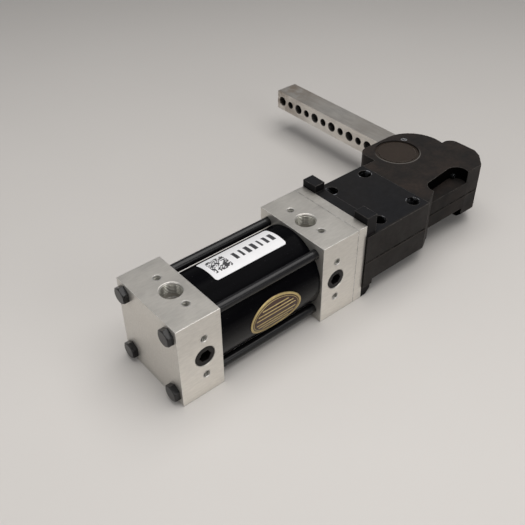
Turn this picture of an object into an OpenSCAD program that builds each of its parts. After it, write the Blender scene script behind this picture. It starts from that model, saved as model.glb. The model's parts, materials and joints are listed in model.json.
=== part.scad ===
// Air-powered arm clamp: a square-cap tie-rod cylinder drives a yoke inside a two-half clamp head,
// and the yoke swings a drilled bar arm through a quarter turn.
// X runs from the rear cap to the head, Z is up, Y = 0 is the cylinder centre plane, units are mm.
// The origin is the middle of the rear cap's underside. Drawn clamped: arm square to the cylinder.

/* [View] */
// Every sub-part of the clamp
// Sub-part to draw; "all" draws the whole clamp

/* [Cylinder] */
// Side of the square end caps
cap_size = 76.2; // [74:0.1:82]
// Length of each end cap along the cylinder
cap_len = 38.1; // [36:0.1:44]
// Visible barrel length between the caps
barrel_len = 100.5; // [98:0.5:140]
// Barrel bore
bore_d = 63.5; // [60:0.1:64]
// Barrel wall
tube_wall = 4.25; // [3:0.05:4.5]
// Piston rod diameter
rod_d = 15.875; // [12:0.025:16]
// Square pitch of the four tie rods
tie_pitch = 57.4; // [57.2:0.1:58.5]
// Tie rod diameter
tie_d = 7.94; // [6:0.01:8.2]
// Thickness of the rod retainer plate
plate_t = 9.525; // [8:0.025:14]

/* [Ports] */
// Thread size of the air ports
port_d = 17.2; // [14:0.1:19]
// Port centre, measured from the barrel side of its cap
port_inset = 15.5; // [14.5:0.1:16]
// Small tapped holes beside each port
tap_d = 5.5; // [3:0.1:6]
// Distance between the two small holes of a pair
tap_pitch = 36.6; // [32:0.1:38]

/* [Head] */
// Flange of the head against the retainer plate
flange_t = 10.8; // [9:0.1:12]
// Height of the two locating ears above the cap
ear_h = 7; // [3:0.1:10]
// Width of each locating ear
ear_w = 15; // [10:0.1:18]
// Width of the rear block of the head
block_w = 80; // [78:0.1:86]
// Overall thickness of the two halves together
head_t = 53.8; // [53:0.1:58]
// Step of the front casting below the machined block face
front_step = 0.5; // [0.2:0.1:1]
// Depth of the side notch floor above the parting plane
notch_floor = 14.2; // [13:0.1:18]
// Recess of each pivot cap below the head face
cap_recess = 0.7; // [0.4:0.1:2]

/* [Arm] */
// Width of the arm bar along the cylinder direction
arm_w = 25.4; // [24:0.1:27]
// Thickness of the arm bar and of its hub
arm_t = 21; // [18:0.1:21.2]
// Length of the arm bar
arm_len = 203.6; // [140:0.1:260]
// Spacing of the arm holes
arm_pitch = 13.3; // [12.5:0.05:14]
// Large holes of the arm, for screws
big_hole_d = 10.5; // [8:0.1:11]
// Small holes of the arm, for dowels
small_hole_d = 8.2; // [6:0.1:8.4]

/* [Drive] */
// Crank radius from the pivot to the crank pin
crank_r = 36; // [35:0.1:37]
// Arm opening angle the drive is laid out for
swing = 90; // [80:1:90]
// Drive roller diameter
roller_d = 14; // [12:0.1:15]
// Free play of the drive rollers in the yoke slots, per side
slot_play = 0.85; // [0.8:0.05:1]

/* [Hidden] */
$fn = 64;
eps = 0.05;               // fitting gap between static pieces
run = 0.04;               // radial gap of running fits
cut = 1;                  // overshoot of cutting shapes
axis_z = cap_size / 2;
tube_r = bore_d / 2 + tube_wall;
tie_xy = [for (sy = [-1, 1], sz = [-1, 1]) [sy * tie_pitch / 2, sz * tie_pitch / 2]];

// stations along X
x_rear = -cap_len / 2;
x_tube0 = cap_len / 2;
x_tube1 = x_tube0 + barrel_len;
x_plate = x_tube1 + cap_len;
x_head = x_plate + plate_t;
x_ports = [x_tube0 - port_inset, x_tube1 + port_inset];

// end caps
seat_depth = 6;           // depth of the tube seat
bay_r = 14;               // air chamber inside each cap
bay_depth = 20;
port_depth = 14;
port_bore_r = 5;
passage_bite = 3;         // port passage into the air chamber
tap_depth = 10;
mouth = 0.8;              // chamfer at the mouth of the ports
plug_af = 9.5;            // hexagon socket of the pipe plugs
plug_socket = 7;          // depth of that socket
plug_sink = 0.4;          // pipe plugs below the side face
oring_r = 1.2;            // cross section of the tube seals
oring_x = 3;              // seal position behind the cap face

// label and badge on the barrel
label_x = 18;           // from the rear cap's face
label_len = 69.3;
label_a = -16;          // lower edge of the label, degrees from the top towards +Y
label_span = 45;
label_corner = 2.5;
badge_x = 53.7;
badge_drop = 1.2;         // badge centre below the cylinder axis
badge_a = 25.6;           // half length
badge_b = 16.2;           // half height
badge_end = 11.6;         // radius of the oval's ends
glue = 0.02;              // film and plate stand this far off the barrel
film_t = 0.2;
badge_t = 0.4;            // outer face of the badge above the barrel

// tie rods
tie_gap = 0.15;           // radial clearance of the tie rod holes
hex_af = 12.7;
hex_h = 5;
crown = 0.47;             // radius of the head's crown over its width across flats
tie_bite = 10;            // thread length in the head flange

// gland
gland_x = x_tube1 + 22;
gland_r = 14.2;
seal_r = 11.9;
seal_x = gland_x + 2;
seal_len = 5;
gland_ring_x = gland_x + 9;
gland_ring_r = 0.9;
wiper_r = 12;
wiper_len = 4;

// piston and rod
piston_len = 30;
piston_gap = 3;           // piston to front cap when clamped
piston_x1 = x_tube1 - piston_gap;
piston_x0 = piston_x1 - piston_len;
piston_play = 0.4;        // radial gap of the piston body in the bore
cup_x = [piston_x0 + 3, piston_x1 - 8];
cup_len = 5;
cup_depth = 4.5;
band_x = piston_x0 + 11;
band_len = 8;
band_depth = 2;
stud_r = 6.35;
nut_h = 10;
nut_af = 19;

// head
block_end = 76.8;
pivot = [120.5, 36.5];
boss_x = 92.6;
boss_c = [133.8, 27.9];
boss_r = 33;
boss_corner = 9;
nose_x = 178.1;
nose_y = 19.4;            // far side of the nose
nose_r = 9;
nose_cut = [[161.8, -30.1], [173.8, -18.6], [178.1, -10.1]]; // slanted near corner of the nose
front_y = -30.1;          // side face of the front casting
side_step = 0.5;          // front casting behind the block's sides
notch_left = [103.8, -27];   // centres and radii of the side notch's ends
notch_right = [134, -24.8];
notch_r = [9.5, 10.3];
half_t = head_t / 2;
slot_h = 12.1;            // half height of the arm slot
groove_h = 18.9;          // half height to the bottom of the yoke grooves
hub_clear_r = 25;
crank_clear_r = 49;
open_y = -9.6;            // arm slot is open on this side's far end
rod_way_r = 12.5;
belly = 5;                // edge chamfer under the lower casting
belly_over = 8;           // the chamfer runs on past the block's end
screw_xy = [for (x = [25.8, 67.8], y = [-28.6, 28.6]) [x, y]];
screw_r = 3.4;
screw_head_r = 5.4;
screw_head_h = 7;
screw_af = 5.5;
screw_sink = 14.5;
dowel_xy = [[46.8, 31], [46.8, -31]];
dowel_r = 4;
dowel_half = 12;
stop_at = [139.5, 17.2];       // small screw in the back wall of the side notch
stop_y = -18.2;
stop_len = 4.2;
stop_r = 2.3;
stop_af = 2.5;

// pivot
pin_r = 12.7;
bush_t = 3.15;
pin_half = 21.4;
cap_r = 21;
cap_lip = 3.2;            // width of the sunken rim of each pivot cap
cap_step = 0.8;           // depth of that rim below the middle
plug_at = [143.4, 48.2];
plug_r = 3.4;
plug_h = 8;
washer_out = 20;

// drive; the slot leads the crank pin a little, so that a constant ratio keeps the roller in its play
lean = swing / 2;
crank = pivot + crank_r * [sin(lean), -cos(lean)];
slot_lead = 0.68;
slot_x = crank[0] + slot_lead;
travel = 2 * (crank_r * sin(lean) + slot_lead);
plate_y0 = -12.1;
plate_y1 = 20.5;
plate_front = 12;
plate_thick = 6.5;
block_front = 16.5;
block_len = 22;
block_half = 8.4;
yoke_screw_dx = [3.5, 18.5]; // behind the block's front
yoke_screw_r = 2.5;
yoke_screw_af = 4;
stud_bite = 14;           // rod stud inside the yoke block
rod_end = x_head + crank[0] - block_front - block_len - nut_h; // rod shoulder behind the lock nut
crank_pin_r = 4.5;
lobe_r = 11;
hub_r = 24;
channel_half = 10.2;      // half width of the yoke channel

// arm
bar_x = pivot[0] + 20.4;
bar_y = pivot[1] - 6.6;
lap_len = 28;             // length of the half lap between hub and bar
end_margin = 8.25;        // last hole to the bar's end
hole_count = floor((arm_len - lap_len - end_margin - 6) / arm_pitch) + 1;
bar_end = bar_y + arm_len;
lap_screw_r = 3;
lap_dowel_r = 2.5;
lap_head_h = 6;           // counterbore of the lap screws
lap_screw_xy = [for (dy = [7, 21]) [bar_x + arm_w / 2, bar_y + dy]];
lap_dowel_xy = [for (dx = [-8, 8]) [bar_x + arm_w / 2 + dx, bar_y + 14]];

module along_x(x0, x1, r, y = 0, z = 0)
    translate([x0, y, axis_z + z]) rotate([0, 90, 0]) cylinder(h = x1 - x0, r = r);

module ring_x(x0, x1, r_in, r_out)
    difference() {
        along_x(x0, x1, r_out);
        along_x(x0 - cut, x1 + cut, r_in);
    }

module torus_x(x, r, wire)
    translate([x, 0, axis_z]) rotate([0, 90, 0]) rotate_extrude() translate([r, 0]) circle(r = wire);

module hex_x(x0, len, af, y = 0, z = 0)
    translate([x0, y, axis_z + z]) rotate([0, 90, 0]) cylinder(h = len, r = af / sqrt(3), $fn = 6);

// hexagon socket, sunk upwards from the origin
module socket(af, depth)
    translate([0, 0, -cut]) cylinder(h = depth + cut, r = af / sqrt(3), $fn = 6);

module at_ties() for (p = tie_xy) translate([0, p[0], p[1]]) children();

// pair of tapped holes along Y around an upward port
module taps()
    for (s = [-1, 1]) translate([0, s * tap_pitch / 2, -tap_depth])
        cylinder(h = tap_depth + cut, d = tap_d);

// everything a port needs, drilled downwards from the origin; the tapped pair lies along Y
module port_cut(reach) {
    translate([0, 0, -port_depth]) cylinder(h = port_depth + cut, d = port_d);
    translate([0, 0, -mouth]) cylinder(h = 2 * mouth, d1 = port_d, d2 = port_d + 4 * mouth);
    translate([0, 0, -reach]) cylinder(h = reach, r = port_bore_r);
    taps();
}

// end cap from x0 with its ports at px; face is its barrel side and dir points from there into the cap
module cap_block(x0, px, face, dir) {
    reach = cap_size / 2 - bay_r + passage_bite;
    difference() {
        translate([x0, -cap_size / 2, 0]) cube([cap_len, cap_size, cap_size]);
        at_ties() along_x(x0 - cut, x0 + cap_len + cut, tie_d / 2 + tie_gap);
        // tube seat
        difference() {
            along_x(min(face, face + dir * seat_depth) - (dir > 0 ? cut : 0),
                max(face, face + dir * seat_depth) + (dir < 0 ? cut : 0), tube_r + eps);
            along_x(min(face, face + dir * seat_depth) - 2 * cut,
                max(face, face + dir * seat_depth) + 2 * cut, bore_d / 2 - eps);
        }
        // seal groove on the pilot
        ring_x(face + dir * oring_x - oring_r - eps, face + dir * oring_x + oring_r + eps,
            bore_d / 2 - 2 * oring_r - 2 * eps, bore_d / 2);
        // air chamber
        along_x(min(face - dir * cut, face + dir * bay_depth),
            max(face - dir * cut, face + dir * bay_depth), bay_r);
        translate([px, 0, cap_size]) port_cut(reach);
        translate([px, -cap_size / 2, axis_z]) rotate([90, 0, 0]) port_cut(reach);
    }
}

module rear_cap() color("#c9c6c0") cap_block(x_rear, x_ports[0], x_tube0, -1);

module front_cap() color("#c9c6c0")
    difference() {
        cap_block(x_tube1, x_ports[1], x_tube1, 1);
        along_x(x_tube1, x_plate + cut, rod_d / 2 + 1);
        along_x(gland_x, x_plate + cut, gland_r + eps);
    }

module retainer_plate() color("#d2cfc8")
    difference() {
        translate([x_plate, -cap_size / 2, 0]) cube([plate_t, cap_size, cap_size]);
        at_ties() along_x(x_plate - cut, x_head + cut, tie_d / 2 + tie_gap);
        along_x(x_plate - cut, x_head + cut, rod_d / 2 + 0.6);
        along_x(x_head - wiper_len - eps, x_head + cut, wiper_r);
    }

module barrel_tube() color("#15161a")
    ring_x(x_tube0 - seat_depth + eps, x_tube1 + seat_depth - eps, bore_d / 2, tube_r);

module tube_seals() color("#202020")
    for (x = [x_tube0 - oring_x, x_tube1 + oring_x]) torus_x(x, bore_d / 2 - oring_r - eps, oring_r);

module tie_rods() color("#1b1a1a")
    at_ties() {
        along_x(x_rear - 1, x_head + tie_bite, tie_d / 2);
        // hexagon head with its crown chamfered by a cone
        intersection() {
            hex_x(x_rear - hex_h, hex_h - 0.01, hex_af);
            translate([x_rear - hex_h, 0, axis_z]) rotate([0, 90, 0])
                cylinder(h = 2 * hex_h, r1 = hex_af * crown, r2 = hex_af * crown + 4 * hex_h);
        }
    }

module port_plugs() color("#1c1c1e")
    for (x = x_ports) translate([x, -cap_size / 2 + plug_sink, axis_z]) rotate([-90, 0, 0])
        difference() {
            cylinder(h = port_depth - 1, d = port_d - 2 * eps);
            socket(plug_af, plug_socket);
        }

// label film bent round the barrel, its corners rounded
module tube_label() color("#f2f2f0")
    intersection() {
        ring_x(x_tube0 + label_x - cut, x_tube0 + label_x + label_len + cut,
            tube_r + glue, tube_r + glue + film_t);
        translate([x_tube0 + label_x + label_len / 2, 0, axis_z])
            rotate([-label_a - label_span / 2, 0, 0]) linear_extrude(tube_r + cut) label_outline();
    }

module label_outline() {
    w = 2 * tube_r * sin(label_span / 2);
    square([label_len - 2 * label_corner, w], center = true);
    square([label_len, w - 2 * label_corner], center = true);
    for (sx = [-1, 1], sy = [-1, 1])
        translate([sx * (label_len / 2 - label_corner), sy * (w / 2 - label_corner)])
            circle(r = label_corner);
}

// oval plate bent round the barrel on the near side, outlined by four arcs
module oval_badge() color("#c9a655")
    intersection() {
        ring_x(x_tube0 + badge_x - badge_a - cut, x_tube0 + badge_x + badge_a + cut,
            tube_r + glue, tube_r + badge_t);
        translate([x_tube0 + badge_x, 0, axis_z - badge_drop]) rotate([90, 0, 0])
            linear_extrude(tube_r + cut) oval();
    }

module oval() {
    reach = badge_a - badge_end;
    side = (reach * reach + badge_b * badge_b - badge_end * badge_end) / (2 * (badge_b - badge_end));
    intersection() {
        translate([0, side - badge_b]) circle(r = side);
        translate([0, badge_b - side]) circle(r = side);
        square([2 * reach * side / (side - badge_end), 2 * badge_b + cut], center = true);
    }
    for (s = [-1, 1]) translate([s * reach, 0]) circle(r = badge_end);
}

module rod_bushing() color("#a5783c")
    difference() {
        along_x(gland_x + eps, x_plate - eps, gland_r);
        along_x(gland_x, x_plate, rod_d / 2 + run);
        along_x(seal_x, seal_x + seal_len, seal_r);
        ring_x(gland_ring_x, gland_ring_x + 2 * (gland_ring_r + eps),
            gland_r - 2 * gland_ring_r, gland_r + cut);
    }

module rod_seal() color("#1e2430")
    ring_x(seal_x + eps, seal_x + seal_len - eps, rod_d / 2 + run, seal_r - eps);

module gland_seal() color("#202020")
    torus_x(gland_ring_x + gland_ring_r + eps, gland_r - gland_ring_r + 0.02, gland_ring_r);

module rod_wiper() color("#2a2a2a")
    ring_x(x_head - wiper_len, x_head - 0.1, rod_d / 2 + run, wiper_r - eps);

module piston() color("#b9b8b4")
    difference() {
        along_x(piston_x0, piston_x1, bore_d / 2 - piston_play);
        along_x(piston_x0 - cut, piston_x1 + cut, stud_r + eps);
        for (x = cup_x) ring_x(x, x + cup_len, bore_d / 2 - cup_depth, bore_d / 2 + cut);
        ring_x(band_x, band_x + band_len, bore_d / 2 - band_depth, bore_d / 2 + cut);
    }

module piston_seals() color("#222428")
    for (x = cup_x) ring_x(x + eps, x + cup_len - eps, bore_d / 2 - cup_depth + eps, bore_d / 2 - run);

module wear_band() color("#3b5a3a")
    ring_x(band_x + eps, band_x + band_len - eps, bore_d / 2 - band_depth + eps, bore_d / 2 - run);

module piston_nut() color("#6d6a66")
    difference() {
        hex_x(piston_x0 - nut_h - eps, nut_h, nut_af);
        along_x(piston_x0 - nut_h - cut, piston_x0 + cut, stud_r + eps);
    }

module piston_rod() color("#cfd2d6") {
    along_x(piston_x0 - nut_h - 2, piston_x1 + 1, stud_r);
    along_x(piston_x1 + eps, rod_end, rod_d / 2);
    along_x(rod_end - 1, rod_end + nut_h + stud_bite, stud_r);
}

module rod_lock_nut() color("#6d6a66")
    difference() {
        hex_x(rod_end + eps, nut_h - 2 * eps, nut_af);
        along_x(rod_end - cut, rod_end + nut_h + cut, stud_r + eps);
    }

module in_head() translate([x_head, 0, axis_z]) children();

module yoke_block() color("#55585c")
    difference() {
        in_head() translate([crank[0] - block_front - block_len, -block_half, -slot_h + 0.1])
            cube([block_len, 2 * block_half, 2 * slot_h - 0.2]);
        along_x(rod_end, rod_end + nut_h + stud_bite + 1, stud_r + eps);
        in_head() for (m = [0, 1]) mirror([0, 0, m]) at_yoke_screws() translate([0, 0, 7])
            cylinder(h = slot_h, r = yoke_screw_r + eps);
    }

module at_yoke_screws()
    for (dx = yoke_screw_dx) translate([crank[0] - block_front - dx, 0, 0]) children();

module yoke_plates() color("#5c5f64")
    in_head() for (m = [0, 1]) mirror([0, 0, m]) translate([0, 0, slot_h - 0.05])
        difference() {
            translate([crank[0] - block_front - block_len, plate_y0, 0])
                cube([block_front + block_len + plate_front, plate_y1 - plate_y0, plate_thick]);
            translate([0, 0, -cut]) linear_extrude(plate_thick + 2 * cut) yoke_slot();
            at_yoke_screws() {
                translate([0, 0, -cut]) cylinder(h = plate_thick + 2 * cut, r = yoke_screw_r + 0.3);
                translate([0, 0, plate_thick - 4.2]) cylinder(h = plate_thick, r = 4.7);
            }
        }

// slot outline: the roller path with play, round ended
module yoke_slot() {
    w = roller_d / 2 + slot_play;
    y_low = pivot[1] - crank_r;
    y_high = crank[1];
    translate([slot_x - w, y_low]) square([2 * w, y_high - y_low]);
    for (y = [y_low, y_high]) translate([slot_x, y]) circle(r = w);
}

module yoke_screws() color("#2c2b2c")
    in_head() for (m = [0, 1]) mirror([0, 0, m]) at_yoke_screws() {
        translate([0, 0, 7.2]) cylinder(h = slot_h + plate_thick - 11, r = yoke_screw_r);
        translate([0, 0, slot_h + plate_thick - 4.1]) difference() {
            cylinder(h = 3.9, r = 4.5);
            translate([0, 0, 3.9]) mirror([0, 0, 1]) socket(yoke_screw_af, 2.4);
        }
    }

// ---- head castings ----
module nose_outline()
    polygon(concat([[boss_x + 30, front_y]], nose_cut,
        [[nose_x, nose_y - nose_r], [nose_x - nose_r, nose_y], [boss_x + 30, nose_y]]));

module front_outline() {
    side = block_w / 2 - side_step;
    polygon([[block_end - 1, -side], [block_end, -side], [boss_x + 1, front_y],
        [boss_c[0], front_y], boss_c, [boss_x + 1, side], [block_end - 1, side]]);
    nose_outline();
    translate([nose_x - nose_r, nose_y - nose_r]) circle(r = nose_r);
    translate(boss_c) circle(r = boss_r);
    translate([boss_x, 0]) square([boss_c[0] - boss_x, boss_c[1] + boss_r - boss_corner]);
    translate([boss_x + boss_corner, 0]) square([boss_c[0] - boss_x - boss_corner, boss_c[1] + boss_r]);
    translate([boss_x + boss_corner, boss_c[1] + boss_r - boss_corner]) circle(r = boss_corner);
}

// side notch of each half, round at both ends and open to the near side
module notch_outline() {
    translate(notch_left) circle(r = notch_r[0]);
    translate(notch_right) circle(r = notch_r[1]);
    polygon([[notch_left[0] - notch_r[0], -block_w], [notch_left[0] - notch_r[0], notch_left[1]],
        notch_left + [0, notch_r[0]], notch_right + [0, notch_r[1]], [notch_right[0], -block_w]]);
}

// arm slot between the halves, wide open where the arm swings
module slot_outline() {
    translate(pivot) circle(r = hub_clear_r);
    intersection() {
        translate(pivot) circle(r = crank_clear_r);
        translate([0, pivot[1] - 100]) square([300, 100]);
    }
    translate([pivot[0] - 0.6, open_y]) square([100, 120]);
    translate([block_end - 20, -channel_half]) square([pivot[0] - block_end + 20, 2 * channel_half]);
}

// one half of the head, parting plane at z = 0, outer face upwards
module head_half() {
    groove_x0 = crank[0] - block_front - block_len - travel - 1;
    difference() {
        union() {
            translate([0, -block_w / 2, 0]) cube([block_end, block_w, half_t]);
            linear_extrude(half_t - front_step) front_outline();
            translate([0, -cap_size / 2, 0]) cube([flange_t, cap_size, cap_size / 2 - eps]);
        }
        translate([0, 0, -cut]) linear_extrude(slot_h + cut) slot_outline();
        translate([groove_x0, plate_y0 - 0.1, -cut])
            cube([crank[0] + plate_front + 1 - groove_x0, plate_y1 - plate_y0 + 0.2, groove_h + cut]);
        translate([-cut, 0, 0]) rotate([0, 90, 0]) cylinder(h = block_end + cut, r = rod_way_r);
        for (s = [-1, 1]) translate([-cut, s * tie_pitch / 2, tie_pitch / 2]) rotate([0, 90, 0])
            cylinder(h = flange_t + 2 * cut, r = tie_d / 2 + eps);
        translate([0, 0, notch_floor]) linear_extrude(half_t) notch_outline();
        // pivot pin and its cap
        translate([pivot[0], pivot[1], 0]) {
            cylinder(h = half_t, r = pin_r + 0.02);
            translate([0, 0, pin_half]) cylinder(h = half_t, r = cap_r + eps);
        }
        for (p = screw_xy) translate([p[0], p[1], -cut]) cylinder(h = half_t + 2 * cut, r = screw_r + 0.3);
        for (p = dowel_xy) translate([p[0], p[1], -cut])
            cylinder(h = dowel_half + 1 + cut, r = dowel_r + 0.01);
    }
}

module head_upper() color("#2b2826")
    in_head() {
        difference() {
            head_half();
            for (p = screw_xy) translate([p[0], p[1], half_t - screw_sink])
                cylinder(h = half_t, r = screw_head_r + 0.5);
            translate([plug_at[0], plug_at[1], half_t - plug_h - 1]) cylinder(h = half_t, r = plug_r + eps);
            translate([stop_at[0], front_y, stop_at[1]]) rotate([-90, 0, 0])
                cylinder(h = stop_y + stop_len + 0.2 - front_y, r = stop_r + eps);
        }
        for (s = [-1, 1]) translate([0, s * (cap_size - ear_w) / 2 - ear_w / 2, cap_size / 2 - 1])
            cube([flange_t, ear_w, ear_h + 1]);
    }

// chamfering bar along X, centred on an edge at the origin
module edge_cut(len)
    rotate([45, 0, 0]) translate([0, -belly / sqrt(2), -belly / sqrt(2)])
        cube([len, belly * sqrt(2), belly * sqrt(2)]);

module head_lower() color("#242120")
    in_head() mirror([0, 0, 1])
        difference() {
            head_half();
            for (s = [-1, 1]) translate([flange_t, s * block_w / 2, half_t])
                edge_cut(block_end - flange_t + belly_over);
            translate([block_end + 30, front_y, half_t - front_step]) edge_cut(nose_x);
            translate([flange_t, -cap_size / 2 - cut, cap_size / 2]) rotate(90) edge_cut(cap_size + 2 * cut);
        }

module stop_screw() color("#8a8c90")
    in_head() translate([stop_at[0], stop_y, stop_at[1]]) rotate([-90, 0, 0])
        difference() {
            cylinder(h = stop_len, r = stop_r);
            socket(stop_af, 2);
        }

module head_screws() color("#2a2a2c")
    in_head() for (p = screw_xy) translate([p[0], p[1], 0]) {
        translate([0, 0, -half_t + 3]) cylinder(h = 2 * half_t - screw_sink - 2, r = screw_r);
        translate([0, 0, half_t - screw_sink + 0.01]) difference() {
            cylinder(h = screw_head_h, r = screw_head_r);
            translate([0, 0, screw_head_h]) mirror([0, 0, 1]) socket(screw_af, 4);
        }
    }

module head_dowels() color("#9a9da2")
    in_head() for (p = dowel_xy) translate([p[0], p[1], -dowel_half])
        cylinder(h = 2 * dowel_half, r = dowel_r);

module pivot_pin() color("#8b8d92")
    in_head() translate([pivot[0], pivot[1], -pin_half + eps])
        cylinder(h = 2 * (pin_half - eps), r = pin_r);

module pivot_caps() color("#3a2a22")
    in_head() for (m = [0, 1]) mirror([0, 0, m]) translate([pivot[0], pivot[1], pin_half + eps]) {
        thick = half_t - front_step - cap_recess - pin_half;
        cylinder(h = thick - cap_step, r = cap_r);
        cylinder(h = thick, r = cap_r - cap_lip);
    }

module oil_plug() color("#a8aab0")
    in_head() translate([plug_at[0], plug_at[1], half_t - plug_h])
        difference() {
            cylinder(h = plug_h - front_step - 0.6, r = plug_r);
            translate([0, 0, plug_h - front_step - 0.6]) mirror([0, 0, 1]) socket(3, 2.4);
        }

module thrust_washers() color("#b08d4f")
    in_head() for (m = [0, 1]) mirror([0, 0, m]) translate([pivot[0], pivot[1], arm_t / 2 + 0.05])
        difference() {
            cylinder(h = slot_h - arm_t / 2 - 0.2, r = washer_out);
            translate([0, 0, -cut]) cylinder(h = slot_h, r = pin_r + eps);
        }

// ---- arm ----
module hub_outline() {
    difference() {
        union() {
            translate(pivot) circle(r = hub_r);
            translate(pivot) rotate(-90 + lean) translate([0, -lobe_r]) square([crank_r, 2 * lobe_r]);
            translate(crank) circle(r = lobe_r);
            translate([bar_x - 7, bar_y - 12]) square([24, 12]);
        }
        translate([bar_x - eps, bar_y - eps]) square([arm_w, 2 * hub_r]);
    }
}

module arm_hub() color("#33302e")
    in_head() difference() {
        translate([0, 0, -arm_t / 2]) {
            linear_extrude(arm_t) hub_outline();
            translate([bar_x - 3, bar_y - 3, 0]) cube([arm_w + 3, lap_len + 3 - eps, arm_t / 2 - eps]);
        }
        translate([pivot[0], pivot[1], -arm_t]) cylinder(h = 2 * arm_t, r = pin_r + bush_t);
        translate([crank[0], crank[1], -arm_t]) cylinder(h = 2 * arm_t, r = crank_pin_r + eps);
        for (p = lap_screw_xy) translate([p[0], p[1], -arm_t]) cylinder(h = arm_t, r = lap_screw_r + eps);
        for (p = lap_dowel_xy) translate([p[0], p[1], -arm_t]) cylinder(h = arm_t, r = lap_dowel_r + 0.01);
    }

module hub_bushing() color("#b08d4f")
    in_head() difference() {
        translate([pivot[0], pivot[1], -arm_t / 2]) cylinder(h = arm_t, r = pin_r + bush_t - eps);
        translate([pivot[0], pivot[1], -arm_t]) cylinder(h = 2 * arm_t, r = pin_r + run);
    }

module crank_pin() color("#8b8d92")
    in_head() translate([crank[0], crank[1], -slot_h - plate_thick + 0.3])
        cylinder(h = 2 * (slot_h + plate_thick - 0.3), r = crank_pin_r);

module crank_rollers() color("#9a9da2")
    in_head() for (m = [0, 1]) mirror([0, 0, m]) translate([crank[0], crank[1], slot_h + 0.1])
        difference() {
            cylinder(h = plate_thick - 0.4, d = roller_d);
            translate([0, 0, -cut]) cylinder(h = plate_thick + 2 * cut, r = crank_pin_r + run);
        }

module arm_bar() color("#b3aea6")
    in_head() difference() {
        translate([bar_x, bar_y, -arm_t / 2]) cube([arm_w, arm_len, arm_t]);
        translate([bar_x - cut, bar_y - cut, -arm_t]) cube([arm_w + 2 * cut, lap_len + cut, arm_t]);
        for (i = [0:hole_count - 1]) translate([bar_x - cut, bar_end - end_margin - i * arm_pitch, 0])
            rotate([0, 90, 0]) cylinder(h = arm_w + 2 * cut, d = i % 2 == 0 ? big_hole_d : small_hole_d);
        for (p = lap_screw_xy) translate([p[0], p[1], 0]) {
            translate([0, 0, -cut]) cylinder(h = arm_t, r = lap_screw_r + 0.3);
            translate([0, 0, arm_t / 2 - lap_head_h]) cylinder(h = arm_t, r = 5.4);
        }
        for (p = lap_dowel_xy) translate([p[0], p[1], -cut]) cylinder(h = arm_t, r = lap_dowel_r + 0.01);
    }

module arm_screws() color("#2a2a2c")
    in_head() for (p = lap_screw_xy) translate([p[0], p[1], 0]) {
        translate([0, 0, -arm_t / 2 + 1]) cylinder(h = arm_t - lap_head_h - 0.5, r = lap_screw_r);
        translate([0, 0, arm_t / 2 - lap_head_h + 0.02]) difference() {
            cylinder(h = lap_head_h - 0.3, r = 5);
            translate([0, 0, lap_head_h - 0.3]) mirror([0, 0, 1]) socket(5, 3.2);
        }
    }

module arm_dowels() color("#9a9da2")
    in_head() for (p = lap_dowel_xy) translate([p[0], p[1], -arm_t / 2 + 0.5])
        cylinder(h = arm_t - 1, r = lap_dowel_r);

rear_cap();
front_cap();
retainer_plate();
barrel_tube();
tube_seals();
tie_rods();
port_plugs();
tube_label();
oval_badge();
rod_bushing();
rod_seal();
gland_seal();
rod_wiper();
piston();
piston_seals();
wear_band();
piston_nut();
piston_rod();
rod_lock_nut();
yoke_block();
yoke_plates();
yoke_screws();
head_upper();
head_lower();
stop_screw();
head_screws();
head_dowels();
pivot_pin();
pivot_caps();
oil_plug();
thrust_washers();
arm_hub();
hub_bushing();
crank_pin();
crank_rollers();
arm_bar();
arm_screws();
arm_dowels();
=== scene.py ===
"""Looks of the air-powered arm clamp: finishes on the CAD parts, detail pieces, light and camera."""

import json
import math

import bmesh
import bpy
from mathutils import Matrix, Vector


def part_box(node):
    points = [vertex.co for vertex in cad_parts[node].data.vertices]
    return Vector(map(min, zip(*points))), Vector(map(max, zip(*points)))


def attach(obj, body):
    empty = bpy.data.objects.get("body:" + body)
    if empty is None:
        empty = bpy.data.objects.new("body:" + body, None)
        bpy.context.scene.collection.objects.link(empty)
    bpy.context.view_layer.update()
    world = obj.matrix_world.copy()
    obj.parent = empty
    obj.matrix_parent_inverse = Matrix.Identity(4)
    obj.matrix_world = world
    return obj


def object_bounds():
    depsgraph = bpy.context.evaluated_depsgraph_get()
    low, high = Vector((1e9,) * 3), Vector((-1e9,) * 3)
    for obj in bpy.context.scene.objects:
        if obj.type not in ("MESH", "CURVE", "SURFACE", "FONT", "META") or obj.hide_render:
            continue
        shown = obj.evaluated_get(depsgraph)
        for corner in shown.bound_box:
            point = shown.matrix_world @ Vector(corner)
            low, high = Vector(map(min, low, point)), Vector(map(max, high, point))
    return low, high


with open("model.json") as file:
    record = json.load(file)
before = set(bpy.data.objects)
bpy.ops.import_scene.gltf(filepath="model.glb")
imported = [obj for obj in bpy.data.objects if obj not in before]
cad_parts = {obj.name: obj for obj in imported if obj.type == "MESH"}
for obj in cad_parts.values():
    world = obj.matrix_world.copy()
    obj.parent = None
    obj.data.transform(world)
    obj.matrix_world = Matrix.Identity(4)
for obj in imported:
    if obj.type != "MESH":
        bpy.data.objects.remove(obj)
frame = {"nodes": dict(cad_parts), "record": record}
cad_lo, cad_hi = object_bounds()
nodes = frame["nodes"]
mounts = {m["name"]: m for m in frame["record"]["mounts"]}
MM = 0.001

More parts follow.
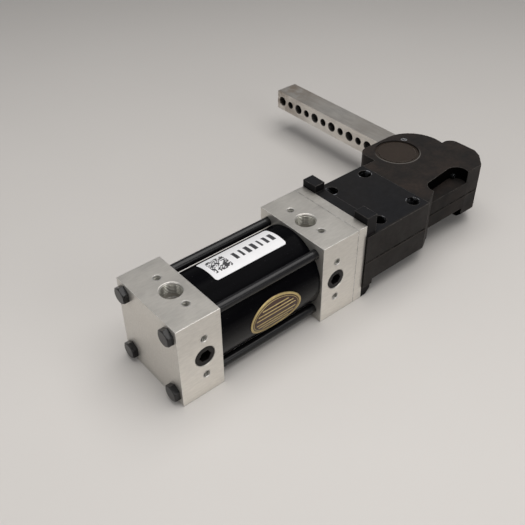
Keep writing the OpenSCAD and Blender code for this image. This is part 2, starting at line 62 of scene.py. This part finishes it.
# ---------------------------------------------------------------- places read from the frame
tube_lo, tube_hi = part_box("barrel_tube")
AXIS_Z = (tube_lo.z + tube_hi.z) / 2
TUBE_R = (tube_hi.z - tube_lo.z) / 2
CAP_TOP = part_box("rear_cap")[1].z
JOINT_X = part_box("retainer_plate")[0].x
HEAD_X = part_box("head_upper")[0].x
LABEL_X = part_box("tube_label")[0].x
BAR_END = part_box("arm_bar")[1].y
badge_lo, badge_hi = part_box("oval_badge")
pivot_lo, pivot_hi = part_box("pivot_caps")
PIVOT_X = (pivot_lo.x + pivot_hi.x) / 2
PIVOT_Y = (pivot_lo.y + pivot_hi.y) / 2
TAP_HALF = mounts["rear_top_taps"]["dims"]["spacing_y_mm"] / 2 * MM
TAP_R = mounts["rear_top_taps"]["dims"]["hole_r_mm"] * MM

# ---------------------------------------------------------------- places of marks that are only looks
SINK = 0.9 * MM  # width of the countersink round a tapped hole
BLOCK_END = HEAD_X + 76.8 * MM  # the machined block ends, the cast front begins
NOTCH_X, NOTCH_HALF_X = HEAD_X + 119.3 * MM, 25.4 * MM
NOTCH_Y, NOTCH_HALF_Y = -21.5 * MM, 8.0 * MM
NOTCH_RIM = 25.4 * MM  # height of the notch's edge above the mid-plane
RECESS_R = 21.3 * MM  # recess of the pivot cap
SCREWS_X, SCREW_HALF_X, SCREW_HALF_Y = HEAD_X + 46.8 * MM, 21.0 * MM, 28.6 * MM
SCREW_RIM = 6.15 * MM


# ---------------------------------------------------------------- node helpers
class Mat:
    """Small builder for a node material."""

    def __init__(self, name):
        self.m = bpy.data.materials.new(name)
        self.m.use_nodes = True
        self.t = self.m.node_tree
        self.n = self.t.nodes
        self.bsdf = self.n["Principled BSDF"]
        self.co = self.n.new("ShaderNodeTexCoord")
        self.bevel = None
        self.dull = None
        self.relief = None
        self.clean = None

    def node(self, kind, **kw):
        nd = self.n.new(kind)
        for k, v in kw.items():
            setattr(nd, k, v)
        return nd

    def link(self, a, b):
        self.t.links.new(a, b)

    def scaled(self, sx, sy, sz):
        mp = self.node("ShaderNodeMapping")
        mp.inputs["Scale"].default_value = (sx, sy, sz)
        self.link(self.co.outputs["Object"], mp.inputs["Vector"])
        return mp.outputs["Vector"]

    def axes(self):
        """x, y and z of the shaded point in the row frame, in metres."""
        sp = self.node("ShaderNodeSeparateXYZ")
        self.link(self.co.outputs["Object"], sp.inputs[0])
        return sp.outputs[0], sp.outputs[1], sp.outputs[2]

    def facing(self):
        """x, y and z of the surface normal."""
        sp = self.node("ShaderNodeSeparateXYZ")
        self.link(self.node("ShaderNodeNewGeometry").outputs["Normal"], sp.inputs[0])
        return sp.outputs[0], sp.outputs[1], sp.outputs[2]

    def times(self, col, factor):
        nd = self.node("ShaderNodeVectorMath", operation="SCALE")
        self.link(col, nd.inputs[0])
        self.link(factor, nd.inputs["Scale"])
        return nd.outputs[0]

    def noise(self, scale, detail=4.0, vec=None, rough=0.55):
        nd = self.node("ShaderNodeTexNoise")
        nd.inputs["Scale"].default_value = scale
        nd.inputs["Detail"].default_value = detail
        nd.inputs["Roughness"].default_value = rough
        self.link(vec if vec is not None else self.co.outputs["Object"], nd.inputs["Vector"])
        return nd.outputs["Fac"]

    def ramp(self, fac, stops):
        nd = self.node("ShaderNodeValToRGB")
        el = nd.color_ramp.elements
        while len(el) < len(stops):
            el.new(0.5)
        for e, (p, c) in zip(el, stops):
            e.position = p
            e.color = (c, c, c, 1) if isinstance(c, (int, float)) else (*c, 1)
        self.link(fac, nd.inputs["Fac"])
        return nd.outputs["Color"]

    def mix(self, fac, a, b, blend="MIX"):
        nd = self.node("ShaderNodeMix", data_type="RGBA", blend_type=blend)
        for sock, val in ((nd.inputs[0], fac), (nd.inputs[6], a), (nd.inputs[7], b)):
            if isinstance(val, (int, float)):
                sock.default_value = val if sock is nd.inputs[0] else (val, val, val, 1)
            elif isinstance(val, tuple):
                sock.default_value = (*val, 1)
            else:
                self.link(val, sock)
        return nd.outputs[2]

    def math(self, op, a, b=0.0, clamp=False):
        nd = self.node("ShaderNodeMath", operation=op, use_clamp=clamp)
        for sock, val in ((nd.inputs[0], a), (nd.inputs[1], b)):
            if isinstance(val, (int, float)):
                sock.default_value = val
            else:
                self.link(val, sock)
        return nd.outputs[0]

    def rise(self, val, low, high):
        """0 below low, 1 above high, straight in between."""
        nd = self.node("ShaderNodeMapRange")
        nd.inputs["From Min"].default_value = low
        nd.inputs["From Max"].default_value = high
        self.link(val, nd.inputs["Value"])
        return nd.outputs["Result"]

    def near(self, val, at, half, soft):
        """1 where val is within half of at, falling to 0 over soft."""
        return self.rise(self.math("ABSOLUTE", self.math("SUBTRACT", val, at)), half + soft, half)

    def length(self, a, b):
        """Length of the flat vector (a, b)."""
        return self.math("SQRT", self.math("ADD", self.math("MULTIPLY", a, a), self.math("MULTIPLY", b, b)))

    def round_edges(self, radius):
        self.bevel = self.node("ShaderNodeBevel", samples=6)
        self.bevel.inputs["Radius"].default_value = radius

    def edges(self, low=0.02, high=0.25):
        """1 on sharp edges, 0 on flats, from the difference between rounded and true normals."""
        geo = self.node("ShaderNodeNewGeometry")
        dot = self.node("ShaderNodeVectorMath", operation="DOT_PRODUCT")
        self.link(self.bevel.outputs[0], dot.inputs[0])
        self.link(geo.outputs["Normal"], dot.inputs[1])
        inv = self.math("SUBTRACT", 1.0, dot.outputs["Value"])
        return self.ramp(inv, [(low, 0.0), (high, 1.0)])

    def hollow(self, dist, low=0.3, high=0.9):
        """Painted shade in corners and pockets, from ambient occlusion: 1 deep inside, 0 in the open."""
        ao = self.node("ShaderNodeAmbientOcclusion", samples=6)
        ao.inputs["Distance"].default_value = dist
        return self.rise(ao.outputs["AO"], high, low)

    def bump(self, height, strength, dist=0.0005):
        nd = self.node("ShaderNodeBump")
        nd.inputs["Strength"].default_value = strength
        nd.inputs["Distance"].default_value = dist
        self.link(height, nd.inputs["Height"])
        if self.bevel:
            self.link(self.bevel.outputs[0], nd.inputs["Normal"])
        if self.relief is not None:
            cone = self.node("ShaderNodeBump")
            cone.inputs["Strength"].default_value = 1.0
            cone.inputs["Distance"].default_value = SINK
            self.link(self.relief, cone.inputs["Height"])
            self.link(nd.outputs["Normal"], cone.inputs["Normal"])
            nd = cone
        self.link(nd.outputs["Normal"], self.bsdf.inputs["Normal"])

    def set(self, **kw):
        for k, v in kw.items():
            sock = self.bsdf.inputs[k.replace("_", " ")]
            if isinstance(v, (int, float)):
                sock.default_value = v
            elif isinstance(v, tuple):
                sock.default_value = (*v, 1)
            else:
                self.link(v, sock)
        return self


def metal(name, base, rough, metallic=1.0, grain=(200, 200, 200), grain_amt=0.1, spot=0.06, edge=None,
          edge_r=0.0005, bump=0.08, tint=None, pocket=0.0, specks=None, extra=None, spec=0.5, side=1.0,
          wear_glint_span=(0.02, 0.25)):
    """Finish with a directional grain, soft blotches, worn edges with a painted highlight, painted shade in
    hollows and small specks.

    grain is the density of the grain along x, y and z, and grain_amt its contrast. spot is how much of
    the surface takes the blotch colour tint. The edge colour goes on sharp edges within edge_r of them, as
    wear with a painted highlight, and the wear span gives the bend at which it starts and is full. pocket
    is the strength of the painted shade in hollows, from ambient occlusion. extra(m, col) adds marks of the
    part's own. side is how much brighter upright faces are painted than level ones, a painted reflection
    of the floor."""
    m = Mat(name)
    m.round_edges(edge_r)
    g = m.noise(1.0, 3.0, m.scaled(*grain))
    big = m.noise(18.0, 4.0)
    col = m.mix(m.ramp(g, [(0.3, 0.0), (0.7, 1.0)]), tuple(c * (1 - grain_amt) for c in base),
                tuple(min(1.0, c * (1 + grain_amt)) for c in base))
    col = m.mix(m.ramp(big, [(0.35, 0.0), (0.75, min(1.0, spot * 5))]), col,
                tint or tuple(c * 0.75 for c in base))
    if specks:
        col = m.mix(m.ramp(m.noise(900.0, 2.0), [(0.70, 0.0), (0.76, 0.6)]), col, specks)
    # painted light: upright faces are painted brighter than level ones, standing in for the floor's
    # reflection
    if side != 1.0:
        up = m.math("ABSOLUTE", m.facing()[2])
        col = m.times(col, m.math("ADD", 1.0, m.math("MULTIPLY", m.rise(up, 0.9, 0.4), side - 1.0)))
    if extra:
        col = extra(m, col)
    # sharp edges get the edge colour: wear, with a painted highlight in it
    if edge:
        patchy = m.ramp(m.noise(220.0, 3.0), [(0.35, 0.2), (0.65, 1.0)])
        wear_glint = m.math("MULTIPLY", m.edges(*wear_glint_span), patchy)
        if m.clean is not None:
            wear_glint = m.math("MULTIPLY", wear_glint, m.math("SUBTRACT", 1.0, m.clean))
        col = m.mix(wear_glint, col, edge)
    # painted shade in hollows, from ambient occlusion, which also dulls the specular there
    if pocket:
        hollow_shade = m.math("MULTIPLY", m.hollow(0.012), pocket)
        if m.clean is not None:
            hollow_shade = m.math("MULTIPLY", hollow_shade, m.math("SUBTRACT", 1.0, m.clean))
        col = m.mix(hollow_shade, col, 0.002)
        m.dull = hollow_shade if m.dull is None else m.math("MAXIMUM", m.dull, hollow_shade)
    r = m.ramp(m.noise(60.0, 5.0), [(0.25, rough * 0.8), (0.75, min(1.0, rough * 1.25))])
    m.set(Base_Color=col, Roughness=r, Metallic=metallic, Specular_IOR_Level=spec)
    if m.dull is not None:
        m.set(Specular_IOR_Level=m.math("MULTIPLY", m.math("SUBTRACT", 1.0, m.dull), spec))
    m.bump(g, bump, 0.0002)
    return m.m


def machined(m, col):
    """Dark joint between the front cap and its plate, painted bounce light on the near side, and a bright
    countersink with a painted highlight round every tapped hole.
    """
    x, y, z = m.axes()
    seam = m.near(x, JOINT_X, 0.15 * MM, 0.25 * MM)
    col = m.mix(seam, col, (0.10, 0.085, 0.08))
    # painted light: the near side is painted brighter towards the floor, standing in for light bounced off
    # the floor
    near_side = m.rise(m.facing()[1], -0.4, -0.9)
    lift = m.math("SUBTRACT", m.math("MULTIPLY", m.rise(z, AXIS_Z + 20 * MM, cad_lo.z), 0.36), 0.06)
    col = m.times(col, m.math("ADD", 1.0, m.math("MULTIPLY", near_side, lift)))
    # distance to the nearest tapped hole: along the cylinder and across the face it is drilled in
    along = m.math("MINIMUM", *(m.math("ABSOLUTE", m.math("SUBTRACT", x, mounts[n]["pos_m"][0]))
                                for n in ("rear_port", "front_port")))
    on_top = m.rise(z, CAP_TOP - 0.6 * MM, CAP_TOP - 0.3 * MM)
    across = m.math("ADD", m.math("MULTIPLY", on_top, m.math("ABSOLUTE", y)),
                    m.math("MULTIPLY", m.math("SUBTRACT", 1.0, on_top),
                           m.math("ABSOLUTE", m.math("SUBTRACT", z, AXIS_Z))))
    dist = m.length(along, m.math("SUBTRACT", across, TAP_HALF))
    m.relief = m.rise(dist, TAP_R, TAP_R + SINK)
    # countersink ring: tilted by the bump above, and painted bright as its highlight
    return m.mix(m.near(dist, TAP_R + SINK / 2, SINK / 2, 0.05 * MM), col, (0.80, 0.78, 0.74))


def casting(m, col):
    """Bluish machined block, browner cast front, painted shade on the notch walls, dark parting line, and
    painted highlights on the pivot recess rim, the screw hole rims and the lip under the line.
    """
    x, y, z = m.axes()
    above = m.math("ABSOLUTE", m.math("SUBTRACT", z, AXIS_Z))
    front = m.rise(x, BLOCK_END - 0.5 * MM, BLOCK_END + 0.5 * MM)
    brown = m.mix(m.ramp(m.noise(45.0, 5.0), [(0.35, 0.0), (0.7, 1.0)]), (0.013, 0.0112, 0.010),
                  (0.030, 0.0215, 0.017))
    col = m.mix(m.math("MULTIPLY", front, 0.85), col, brown)
    side = m.rise(y, cad_lo.y + 2.5 * MM, cad_lo.y + 0.5 * MM)
    col = m.mix(m.math("MULTIPLY", side, 0.5), col, (0.026, 0.021, 0.017))
    col = m.mix(m.ramp(m.noise(330.0, 4.0), [(0.35, 0.35), (0.6, 0.0)]), col, (0.004, 0.004, 0.005))
    # side notch: painted shade on its walls, less on the open floor
    inside = m.math("MULTIPLY", m.near(x, NOTCH_X, NOTCH_HALF_X, 0.3 * MM),
                    m.near(y, NOTCH_Y, NOTCH_HALF_Y, 0.8 * MM))
    inside = m.math("MULTIPLY", inside, m.rise(above, NOTCH_RIM + 0.8 * MM, NOTCH_RIM))
    level = m.rise(m.math("ABSOLUTE", m.facing()[2]), 0.6, 0.9)
    notch_wall_shade = m.math("MULTIPLY", inside, m.math("SUBTRACT", 0.95, m.math("MULTIPLY", level, 0.75)))
    # recess of the pivot cap, with a painted highlight on its rim on the side towards the camera
    px = m.math("SUBTRACT", x, PIVOT_X)
    py = m.math("SUBTRACT", y, PIVOT_Y)
    away = m.length(px, py)
    # no wear and no painted hollow shade in the notch and in the cap's recess
    m.clean = m.math("MAXIMUM", inside, m.near(away, 0.0, RECESS_R, 1.0 * MM))
    rim = m.math("MULTIPLY", m.near(away, RECESS_R + 0.3 * MM, 0.35 * MM, 0.3 * MM),
                 m.rise(m.math("ADD", py, m.math("MULTIPLY", px, 0.6)), 4.0 * MM, -16.0 * MM))
    col = m.mix(m.math("MULTIPLY", rim, 0.75), col, (0.15, 0.14, 0.13))
    # painted glints, broken, on the rims of the four screw holes
    hx = m.math("SUBTRACT", m.math("ABSOLUTE", m.math("SUBTRACT", x, SCREWS_X)), SCREW_HALF_X)
    hy = m.math("SUBTRACT", m.math("ABSOLUTE", y), SCREW_HALF_Y)
    painted_glint = m.math("MULTIPLY", m.near(m.length(hx, hy), SCREW_RIM, 0.3 * MM, 0.15 * MM),
                   m.ramp(m.noise(190.0, 2.0), [(0.52, 0.0), (0.60, 1.0)]))
    col = m.mix(painted_glint, col, (0.24, 0.25, 0.27))
    # parting line, and a painted highlight on the lip under it
    line = m.near(z, AXIS_Z, 0.6 * MM, 0.35 * MM)
    lip = m.near(z, AXIS_Z - 1.5 * MM, 0.3 * MM, 0.4 * MM)
    col = m.mix(m.math("MULTIPLY", lip, 0.6), col, (0.045, 0.038, 0.032))
    # painted shade on the notch walls, and the dark parting line; both also dull the specular
    m.dull = m.math("MAXIMUM", notch_wall_shade, line)
    return m.mix(m.dull, col, 0.0004)


def glossy_below(m, col):
    """The barrel reflects the floor, not the lamp above it."""
    m.dull = m.math("MULTIPLY", m.rise(m.facing()[2], -0.05, 0.35), 0.93)
    return col


def stains(m, col):
    """Brownish stain towards the far end of the bar and fine scratches along it."""
    y = m.axes()[1]
    far = m.rise(y, BAR_END - 60 * MM, BAR_END)
    rust = m.math("MULTIPLY", far, m.ramp(m.noise(70.0, 6.0), [(0.42, 0.0), (0.62, 0.8)]))
    col = m.mix(rust, col, (0.20, 0.15, 0.11))
    scratch = m.ramp(m.noise(1.0, 2.0, m.scaled(1500, 60, 1500)), [(0.66, 0.0), (0.72, 0.5)])
    return m.mix(scratch, col, (0.42, 0.40, 0.38))


# printed marks on the label, in mm: u along the barrel from the label's rear end, v round it from the top
CODE_U, CODE_V, CODE_HALF, CODE_CELLS = 12.4, 4.2, 8.4, 15
BARS_FROM, BAR_PITCH = 25.0, 6.0
BARS_U, BARS_HALF_U = 46.0, 20.9
BARS_V, BARS_HALF_V = 3.4, 4.3
BAR_THIN, BAR_EXTRA = 0.16, 0.16  # half width of a bar as a share of the pitch: least, and the random extra


def printed(m, col):
    """Plain printed marks on the label: a block of random cells and a few bars, nothing readable."""
    x, y, z = m.axes()
    ang = m.math("ARCTAN2", y, m.math("SUBTRACT", z, AXIS_Z))
    v = m.math("MULTIPLY", ang, TUBE_R / MM)
    u = m.math("DIVIDE", m.math("SUBTRACT", x, LABEL_X), MM)
    cell = 2 * CODE_HALF / CODE_CELLS
    grid = m.node("ShaderNodeCombineXYZ")
    m.link(m.math("FLOOR", m.math("DIVIDE", u, cell)), grid.inputs[0])
    m.link(m.math("FLOOR", m.math("DIVIDE", v, cell)), grid.inputs[1])
    chance = m.node("ShaderNodeTexWhiteNoise", noise_dimensions="2D")
    m.link(grid.outputs[0], chance.inputs["Vector"])
    dark = m.math("GREATER_THAN", chance.outputs["Value"], 0.45)
    box = m.math("MULTIPLY", m.near(u, CODE_U, CODE_HALF, 0.05), m.near(v, CODE_V, CODE_HALF, 0.05))
    block = m.math("MULTIPLY", dark, box)
    pos = m.math("DIVIDE", m.math("SUBTRACT", u, BARS_FROM), BAR_PITCH)
    width = m.node("ShaderNodeTexWhiteNoise", noise_dimensions="1D")
    m.link(m.math("FLOOR", pos), width.inputs["W"])
    half = m.math("ADD", BAR_THIN, m.math("MULTIPLY", width.outputs["Value"], BAR_EXTRA))
    bar = m.math("LESS_THAN", m.math("ABSOLUTE", m.math("SUBTRACT", m.math("FRACT", pos), 0.5)), half)
    row = m.math("MULTIPLY", m.near(u, BARS_U, BARS_HALF_U, 0.05), m.near(v, BARS_V, BARS_HALF_V, 0.3))
    ink = m.math("MAXIMUM", block, m.math("MULTIPLY", bar, row))
    return m.mix(ink, col, (0.03, 0.03, 0.035))


ALU = metal("machined_aluminium", (0.49, 0.472, 0.44), rough=0.38, metallic=0.75, grain=(150, 600, 600),
            grain_amt=0.06, spot=0.06, edge=(0.98, 0.97, 0.95), edge_r=0.0008, wear_glint_span=(0.01, 0.12),
            tint=(0.425, 0.40, 0.36), pocket=0.25, side=1.4, extra=machined)
BLACK_GLOSS = metal("black_gloss", (0.0025, 0.0025, 0.0032), rough=0.2, metallic=0.0, grain=(30, 300, 300),
                    grain_amt=0.2, spot=0.02, bump=0.01, specks=(0.04, 0.04, 0.044), spec=0.2,
                    extra=glossy_below)
BLACK_OXIDE = metal("black_oxide", (0.006, 0.005, 0.005), rough=0.3, metallic=0.2, grain=(300, 300, 300),
                    grain_amt=0.3, spot=0.1, edge=(0.07, 0.062, 0.055), spec=0.25)
TIE_BLACK = metal("tie_rod_black", (0.008, 0.008, 0.009), rough=0.22, metallic=0.2, grain=(60, 500, 500),
                  grain_amt=0.3, spot=0.1, edge=(0.06, 0.058, 0.056), edge_r=0.0008, bump=0.03, spec=0.38)
HEAD = metal("head_casting", (0.0072, 0.0075, 0.0090), rough=0.48, metallic=0.0, grain=(150, 150, 150),
             grain_amt=0.25, spot=0.12, edge=(0.16, 0.15, 0.14), edge_r=0.0009, bump=0.15,
             tint=(0.015, 0.013, 0.012), pocket=0.95, spec=0.12, extra=casting)
CAP = metal("pivot_cap_steel", (0.020, 0.0135, 0.0095), rough=0.45, metallic=0.0, grain=(400, 400, 400),
            grain_amt=0.2, spot=0.15, edge=(0.14, 0.12, 0.10), edge_r=0.0008, tint=(0.029, 0.020, 0.014),
            spec=0.2)
HUB = metal("hub_steel", (0.035, 0.032, 0.031), rough=0.42, metallic=0.6, grain_amt=0.2, spot=0.1,
            pocket=0.6)
BAR = metal("bar_steel", (0.355, 0.34, 0.318), rough=0.42, metallic=0.7, grain=(300, 60, 300),
            grain_amt=0.12, spot=0.14, edge=(0.60, 0.58, 0.55), tint=(0.28, 0.25, 0.22), pocket=0.9,
            side=2.1, extra=stains)
BRIGHT = metal("bright_steel", (0.50, 0.50, 0.51), rough=0.28, grain=(300, 300, 300), grain_amt=0.08,
               spot=0.05)
STOP = metal("stop_screw_steel", (0.05, 0.052, 0.056), rough=0.2, metallic=0.9, grain=(300, 300, 300),
             spot=0.1)
THREAD = metal("cut_thread", (0.66, 0.64, 0.59), rough=0.34, grain=(260, 260, 5), grain_amt=0.55, spot=0.02,
               bump=0.0)
CHROME = metal("rod_chrome", (0.75, 0.75, 0.77), rough=0.08, grain=(30, 600, 600), grain_amt=0.04,
               spot=0.02, bump=0.01)
BRONZE = metal("bronze", (0.45, 0.29, 0.12), rough=0.35, grain=(300, 300, 300), spot=0.1)
RUBBER = metal("seal_rubber", (0.015, 0.015, 0.016), rough=0.7, metallic=0.0, grain_amt=0.2, spot=0.1)
BAND = metal("band_plastic", (0.06, 0.11, 0.06), rough=0.6, metallic=0.0, grain_amt=0.2, spot=0.1)
ENAMEL = metal("badge_enamel", (0.060, 0.030, 0.022), rough=0.3, metallic=0.2, grain=(300, 300, 300),
               grain_amt=0.2, spot=0.1)
GOLD = metal("badge_gold", (0.58, 0.46, 0.22), rough=0.32, metallic=0.8, grain=(300, 300, 300),
             grain_amt=0.12, spot=0.1, tint=(0.42, 0.32, 0.14))
LABEL = metal("label_film", (0.77, 0.77, 0.785), rough=0.45, metallic=0.0, grain=(80, 80, 80),
              grain_amt=0.02, spot=0.02, bump=0.02, extra=printed)

finish = {
    # cylinder
    "rear_cap": ALU, "front_cap": ALU, "retainer_plate": ALU, "barrel_tube": BLACK_GLOSS,
    "tube_seals": RUBBER, "tie_rods": TIE_BLACK, "port_plugs": BLACK_OXIDE, "tube_label": LABEL,
    "oval_badge": ENAMEL, "rod_bushing": BRONZE, "rod_seal": RUBBER, "gland_seal": RUBBER,
    "rod_wiper": RUBBER,
    # clamp head
    "head_upper": HEAD, "head_lower": HEAD, "stop_screw": STOP, "head_screws": BLACK_OXIDE,
    "head_dowels": BRIGHT, "pivot_pin": BRIGHT, "pivot_caps": CAP, "oil_plug": BRIGHT,
    "thrust_washers": BRONZE,
    # rod and yoke
    "piston": ALU, "piston_seals": RUBBER, "wear_band": BAND, "piston_nut": HUB, "piston_rod": CHROME,
    "rod_lock_nut": HUB, "yoke_block": HUB, "yoke_plates": HUB, "yoke_screws": BLACK_OXIDE,
    # arm
    "arm_hub": HUB, "hub_bushing": BRONZE, "crank_pin": BRIGHT, "arm_bar": BAR, "arm_screws": BLACK_OXIDE,
    "arm_dowels": BRIGHT, "crank_rollers": BRIGHT,
}
for n, mat in finish.items():
    o = nodes[n]
    o.data.materials.clear()
    o.data.materials.append(mat)


# ---------------------------------------------------------------- detail pieces
def piece(name, verts, faces, mat, body, smooth=True):
    """New mesh that rides on a body, with its faces turned outwards."""
    me = bpy.data.meshes.new(name)
    me.from_pydata([tuple(v) for v in verts], [], faces)
    me.update()
    bm = bmesh.new()
    bm.from_mesh(me)
    bmesh.ops.recalc_face_normals(bm, faces=bm.faces)
    bm.to_mesh(me)
    bm.free()
    for p in me.polygons:
        p.use_smooth = smooth
    o = bpy.data.objects.new(name, me)
    bpy.context.scene.collection.objects.link(o)
    me.materials.append(mat)
    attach(o, body)
    return o


PORT_THREAD = {"pitch": 1.41 * MM, "depth": 11.5 * MM, "start": 1.3 * MM}
TAP_THREAD = {"pitch": 1.0 * MM, "depth": 8.5 * MM, "start": 1.1 * MM}
PER_TURN = 40  # steps of a thread's helix in one turn
IN_WALL = 0.12 * MM  # how far a thread's root stands in the wall


def thread(name, mouth, axis, radius, pitch, depth, start):
    """Helical ridge of an internal thread; axis points out of the hole."""
    axis = Vector(axis).normalized()
    u = axis.orthogonal().normalized()
    w = axis.cross(u)
    count = int((depth - start - pitch) / pitch * PER_TURN)
    ridge, flank, flat_end = 0.34 * pitch, 0.46 * pitch, 0.1 * MM
    prof = [(radius + IN_WALL, -flank), (radius - ridge, 0.0), (radius + IN_WALL, flank)]
    verts, faces = [], []
    for i in range(count + 1):
        a = 2 * math.pi * i / PER_TURN
        # the ridge grows out of the wall over a quarter turn at both ends
        grow = min(1.0, i / (PER_TURN / 4), (count - i) / (PER_TURN / 4))
        down = start + pitch * i / PER_TURN
        for r, dz in prof:
            rr = r if r > radius else radius + flat_end - (ridge + flat_end) * grow
            verts.append(Vector(mouth) + (u * math.cos(a) + w * math.sin(a)) * rr - axis * (down + dz))
    for i in range(count):
        for k in range(3):
            a, b = 3 * i + k, 3 * i + (k + 1) % 3
            faces.append((a, b, b + 3, a + 3))
    faces.append((0, 1, 2))
    faces.append((3 * count, 3 * count + 2, 3 * count + 1))
    return piece(name, verts, faces, THREAD, "frame_body")


for end in ("rear", "front"):
    port = mounts[end + "_port"]
    mouth = Vector(port["pos_m"])
    mouth.z = CAP_TOP
    thread(end + "_port_thread", mouth, port["axis"], port["dims"]["r_mm"] * MM, **PORT_THREAD)
    for face, along in (("top", Vector((0, 1, 0))), ("side", Vector((0, 0, 1)))):
        taps = mounts[end + "_" + face + "_taps"]
        for tag, way in (("a", -1), ("b", 1)):
            thread(f"{end}_{face}_tap_{tag}_thread", Vector(taps["pos_m"]) + along * TAP_HALF * way,
                   taps["axis"], TAP_R, **TAP_THREAD)


# badge relief: a raised rim and plain lines inside it, laid on the curved plate
BADGE_C = ((badge_lo.x + badge_hi.x) / 2, (badge_lo.z + badge_hi.z) / 2)
BADGE_A = (badge_hi.x - badge_lo.x) / 2
BADGE_B = (badge_hi.z - badge_lo.z) / 2
BADGE_R = TUBE_R + 0.4 * MM
STRIP = ((-0.5, -0.1), (-0.32, 1.0), (0.32, 1.0), (0.5, -0.1))  # section: shares of the width and the lift


def on_badge(x, z, lift):
    """Point on the badge's surface: x along the barrel, z up, lift outwards."""
    z = z + BADGE_C[1] - AXIS_Z
    r = BADGE_R
    y = -math.sqrt(max(r * r - z * z, 0.0))
    n = Vector((0, y, z)) / r
    return Vector((BADGE_C[0] + x, 0, AXIS_Z)) + n * (r + lift)


def band(name, path, width, lift, closed):
    """Raised strip along a path of (x, z) points on the badge."""
    verts, faces = [], []
    n = len(path)
    for i, (x, z) in enumerate(path):
        if closed:
            a, b = path[i - 1], path[(i + 1) % n]
        else:
            a, b = path[max(i - 1, 0)], path[min(i + 1, n - 1)]
        tx, tz = b[0] - a[0], b[1] - a[1]
        ln = math.hypot(tx, tz)
        nx, nz = -tz / ln, tx / ln
        for off, up in STRIP:
            verts.append(on_badge(x + nx * off * width, z + nz * off * width, lift * up))
    last = n if closed else n - 1
    for i in range(last):
        j = (i + 1) % n
        for k in range(4):
            faces.append((4 * i + k, 4 * i + (k + 1) % 4, 4 * j + (k + 1) % 4, 4 * j + k))
    if not closed:
        faces.append((0, 1, 2, 3))
        faces.append((4 * n - 1, 4 * n - 2, 4 * n - 3, 4 * n - 4))
    return piece(name, verts, faces, GOLD, "frame_body", smooth=False)


def ring_path(inset, steps=96):
    """Closed oval set in from the badge's edge."""
    a, b = BADGE_A - inset, BADGE_B - inset
    turns = [2 * math.pi * i / steps for i in range(steps)]
    return [(a * math.cos(t), b * math.sin(t)) for t in turns]


def line_path(reach, z, steps=24):
    """Straight run along the barrel at height z, reach long each way."""
    return [(-reach + 2 * reach * i / steps, z) for i in range(steps + 1)]


band("badge_rim", ring_path(1.2 * MM), width=2.2 * MM, lift=0.35 * MM, closed=True)
band("badge_ring", ring_path(3.3 * MM), width=0.6 * MM, lift=0.2 * MM, closed=True)
# plain lines across the middle, clipped to an inner oval
IN_A, IN_B = BADGE_A - 5.5 * MM, BADGE_B - 5.0 * MM
LINE_HEIGHTS = (-8.5, -5.4, -2.3, 2.3, 5.4, 8.5)  # mm from the badge's middle
for k, height in enumerate(LINE_HEIGHTS):
    z = height * MM
    reach = IN_A * math.sqrt(max(1 - (z / IN_B) ** 2, 0.0))
    band(f"badge_line_{k}", line_path(reach, z), width=1.1 * MM, lift=0.25 * MM, closed=False)


# ---------------------------------------------------------------- floor, light, camera
def floor():
    """Pale table top with painted light falloff: it gets a little darker away from the camera."""
    me = bpy.data.meshes.new("floor")
    bm = bmesh.new()
    bmesh.ops.create_grid(bm, x_segments=8, y_segments=8, size=6.0)
    bm.to_mesh(me)
    bm.free()
    o = bpy.data.objects.new("floor", me)
    bpy.context.scene.collection.objects.link(o)
    o.location = (0, 0, cad_lo.z - 0.2 * MM)
    m = Mat("floor_paint")
    c = m.mix(m.ramp(m.noise(2.0, 3.0), [(0.3, 0.0), (0.7, 1.0)]), (0.585, 0.565, 0.545),
              (0.605, 0.585, 0.565))
    x, y, _ = m.axes()
    painted_falloff = m.rise(m.math("ADD", x, y), 1.2, -0.1)
    c = m.times(c, m.math("ADD", 0.66, m.math("MULTIPLY", painted_falloff, 0.38)))
    m.set(Base_Color=c, Roughness=0.7, Specular_IOR_Level=0.2)
    me.materials.append(m.m)


def area(name, loc, size, power, color):
    """Soft lamp that looks at the middle of the clamp."""
    target = Vector((0.12, 0.0, 0.04))
    lamp = bpy.data.lights.new(name, "AREA")
    lamp.shape = "RECTANGLE"
    lamp.size, lamp.size_y = size
    lamp.energy = power
    lamp.color = color
    o = bpy.data.objects.new(name, lamp)
    o.location = loc
    o.rotation_euler = (target - Vector(loc)).to_track_quat("-Z", "Y").to_euler()
    bpy.context.scene.collection.objects.link(o)


floor()
area("key_light", (0.35, -0.05, 1.45), (1.5, 1.5), 20, (1.0, 0.975, 0.945))
area("near_light", (0.35, -1.7, 0.8), (1.0, 0.8), 7, (1.0, 0.985, 0.96))
area("left_light", (-1.4, -0.1, 0.8), (0.9, 0.9), 3.1, (1.0, 0.985, 0.96))

world = bpy.data.worlds.new("studio")
bpy.context.scene.world = world
world.use_nodes = True
sky = world.node_tree.nodes["Background"]
sky.inputs["Color"].default_value = (0.97, 0.98, 1.0, 1)
sky.inputs["Strength"].default_value = 0.28

# camera: place in metres, angles in radians, 39.4 degrees down
CAM_AT = (-0.19334, -0.34279, 0.42148)
YAW, PITCH, ROLL = 0.8812, 0.6879, -0.0118
FOCAL_PX, FRAME_PX = 722.41, 525
cam = bpy.data.cameras.new("camera")
cam.sensor_width = 36.0
cam.lens = cam.sensor_width * FOCAL_PX / FRAME_PX
cam.clip_start, cam.clip_end = 0.01, 50
cam_o = bpy.data.objects.new("camera", cam)
bpy.context.scene.collection.objects.link(cam_o)
fwd = Vector((math.cos(PITCH) * math.cos(YAW), math.cos(PITCH) * math.sin(YAW), -math.sin(PITCH)))
right = Vector((math.sin(YAW), -math.cos(YAW), 0))
up = right.cross(fwd)
right_rolled = math.cos(ROLL) * right + math.sin(ROLL) * up
up_rolled = -math.sin(ROLL) * right + math.cos(ROLL) * up
rot = Matrix((right_rolled, up_rolled, -fwd)).transposed()
cam_o.matrix_world = Matrix.Translation(CAM_AT) @ rot.to_4x4()
bpy.context.scene.camera = cam_o
bpy.context.scene.view_settings.view_transform = "Standard"
